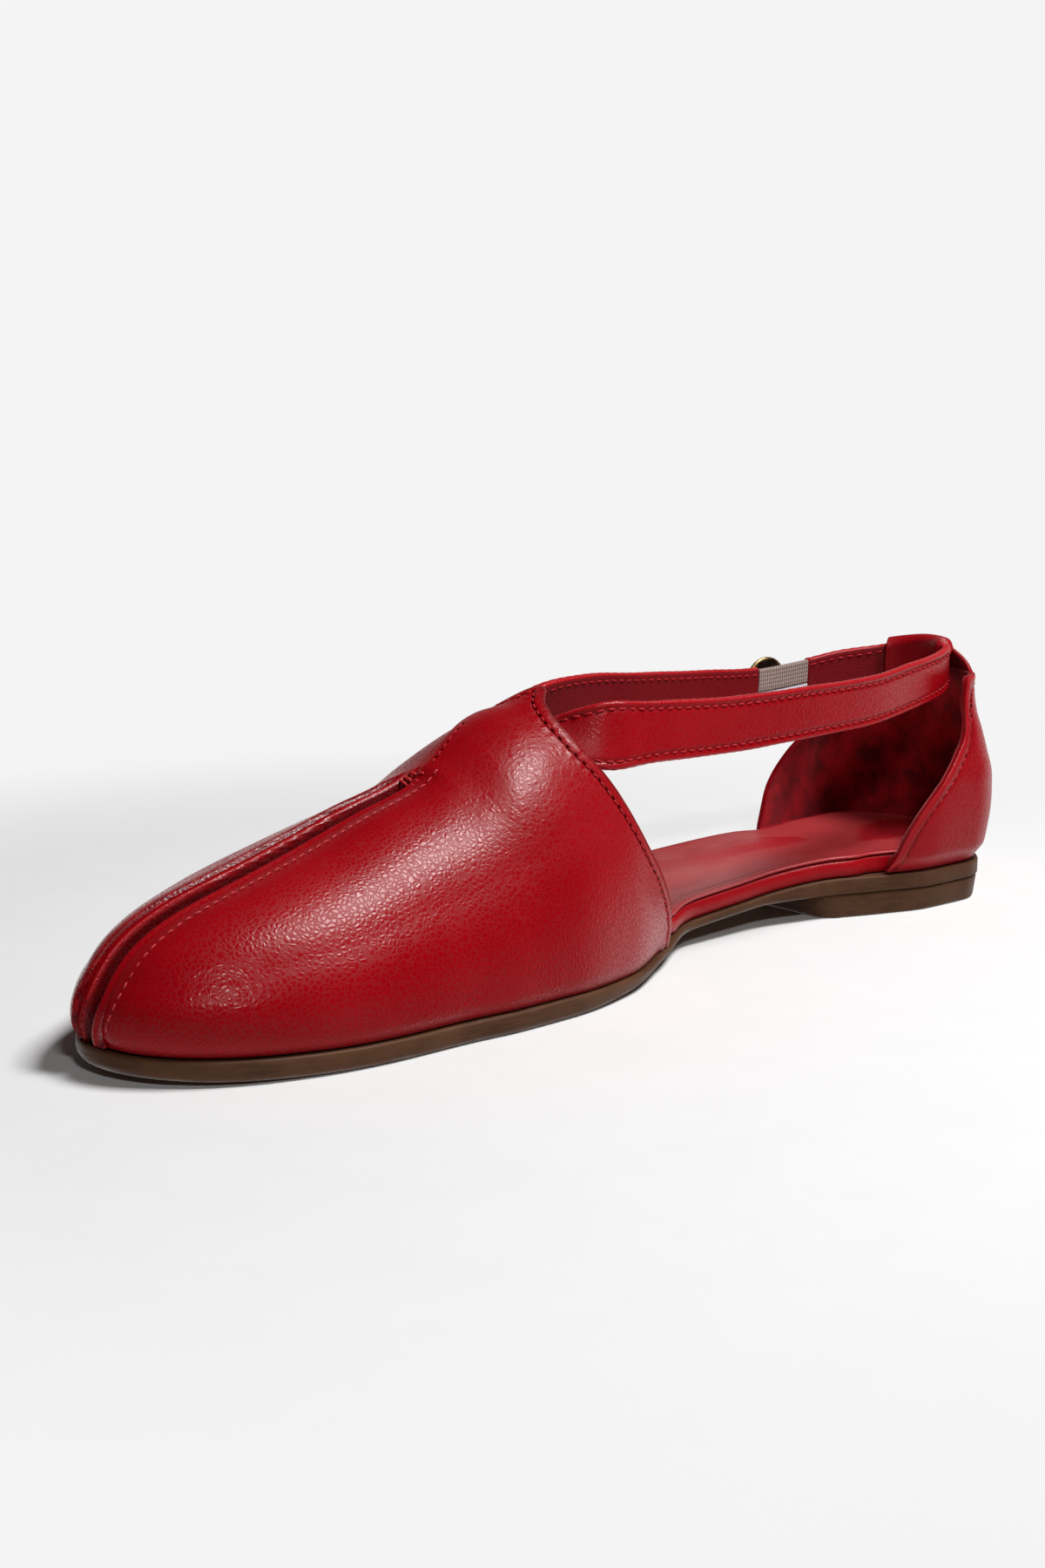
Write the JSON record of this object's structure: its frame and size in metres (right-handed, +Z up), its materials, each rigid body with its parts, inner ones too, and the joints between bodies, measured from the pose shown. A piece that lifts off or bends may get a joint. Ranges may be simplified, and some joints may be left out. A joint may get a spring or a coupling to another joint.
{
  "type": "closed-toe flat shoe with ankle strap",
  "caption": "Red leather flat with a closed almond toe, open waist on both sides, heel counter and an ankle strap with elastic and button.",
  "frame": {"origin": "middle of the bounding box, on the floor that the heel and the forefoot stand on", "axes": "+X from the heel to the toe, +Y to the inner side of the foot, +Z up"},
  "size_m": [0.2586, 0.0764, 0.0632],
  "materials": {
    "sole_rubber": "matte brown",
    "insole_leather": "smooth red",
    "upper_leather": "grained red with a soft sheen",
    "strap_leather": "grained red with folded edges",
    "elastic_band": "woven",
    "button_metal": "aged bronze"
  },
  "bodies": {
    "root": {"outsole": "sole_rubber", "heel_block": "sole_rubber", "insole": "insole_leather", "footbed": "insole_leather", "vamp": "upper_leather", "counter": "upper_leather", "ankle_strap": "strap_leather", "strap_front": "strap_leather", "elastic": "elastic_band", "button": "button_metal"}
  },
  "joints": []
}
